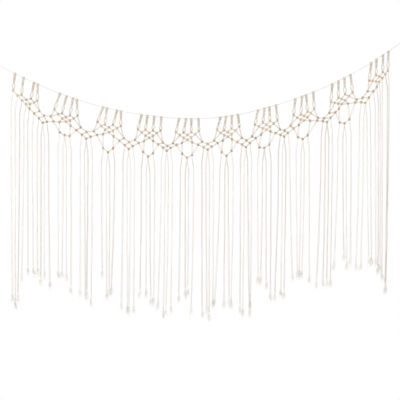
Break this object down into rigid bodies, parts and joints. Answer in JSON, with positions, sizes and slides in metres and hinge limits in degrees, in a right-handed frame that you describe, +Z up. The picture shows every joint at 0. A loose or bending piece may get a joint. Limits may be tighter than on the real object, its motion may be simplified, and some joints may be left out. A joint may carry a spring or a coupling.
{
  "type": "macrame wall hanging on a carrier cord",
  "caption": "Knotted cream cotton macrame backdrop: sennits on a thin sagging cord with tied end loops, netted V patches joined by swags, and a long frayed fringe.",
  "frame": {"origin": "inside the far end of the left tied loop of the carrier cord, where the hook that holds it goes through", "axes": "+X to the right along the hanging, towards the other loop; +Z up; the front faces -Y and the wall is behind it at +Y"},
  "size_m": [2.2707, 0.0138, 1.5459],
  "materials": {
    "macrame_cotton": "matt natural cream cotton string, loosely twisted",
    "carrier_cotton": "matt natural cotton cord, tightly twisted"
  },
  "bodies": {
    "root": {"macrame_net": "macrame_cotton", "fringe": "macrame_cotton", "carrier_cord": "carrier_cotton", "hanging_loop_left": "carrier_cotton", "hanging_loop_right": "carrier_cotton"}
  },
  "joints": []
}
